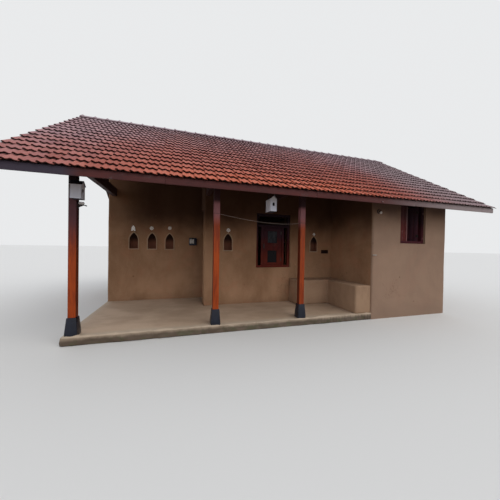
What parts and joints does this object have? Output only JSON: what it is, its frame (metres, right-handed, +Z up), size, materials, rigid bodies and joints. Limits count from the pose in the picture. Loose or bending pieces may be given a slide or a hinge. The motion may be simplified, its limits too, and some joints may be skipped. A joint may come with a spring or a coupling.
{
  "type": "adobe house",
  "caption": "Single-storey mud-walled house with a clay-tiled gable roof, a posted verandah, lamp niches, mud benches and shuttered windows.",
  "frame": {"origin": "on the ground under the middle of the roof, below the ridge", "axes": "+X along the ridge towards the right-hand room, -Y towards the verandah's front, +Z up"},
  "size_m": [10, 7.1308, 5.1105],
  "materials": {
    "mud_wall": "hand-smoothed mud plaster, matt",
    "mud_floor": "beaten mud, worn pale at the edge",
    "clay_tile": "fired clay, matt, weathered darker in patches",
    "post_wood": "varnished, worn",
    "black_paint": "dark gloss paint",
    "roof_wood": "dark stained, matt",
    "window_wood": "dark red paint, worn",
    "pane": "dusty clear glass",
    "white_paint": "white paint, matt",
    "lamp_white": "white, satin",
    "line": "twisted cord, matt"
  },
  "bodies": {
    "root": {"niche_wall": "mud_wall", "over_door_wall": "mud_wall", "middle_wall": "mud_wall", "side_room_wall": "mud_wall", "front_room_wall": "mud_wall", "left_gable_wall": "mud_wall", "right_gable_wall": "mud_wall", "back_wall": "mud_wall", "bench_back": "mud_wall", "bench_side": "mud_wall", "verandah_floor": "mud_floor", "room_floor": "mud_floor", "tiles_front": "clay_tile", "tiles_back": "clay_tile", "ridge_tiles": "clay_tile", "post_1": "post_wood", "post_2": "post_wood", "post_3": "post_wood", "post_footing_1": "black_paint", "post_footing_2": "black_paint", "post_footing_3": "black_paint", "switch_board": "black_paint", "front_beam": "roof_wood", "back_beam": "roof_wood", "ridge_beam": "roof_wood", "tie_beams": "roof_wood", "rafters_front": "roof_wood", "rafters_back": "roof_wood", "laths_front": "roof_wood", "laths_back": "roof_wood", "fascia_front": "roof_wood", "fascia_back": "roof_wood", "verge_board_left": "roof_wood", "verge_board_right": "roof_wood", "door_frame": "window_wood", "middle_window_frame": "window_wood", "middle_window_leaf": "window_wood", "room_window_frame": "window_wood", "room_window_shutters": "window_wood", "back_window_frames": "window_wood", "back_window_shutters": "window_wood", "middle_window_panes": "pane", "nest_box_post": "white_paint", "nest_box_hung": "white_paint", "post_lamp": "lamp_white", "wall_lamp": "lamp_white", "clothes_line": "line"}
  },
  "joints": []
}
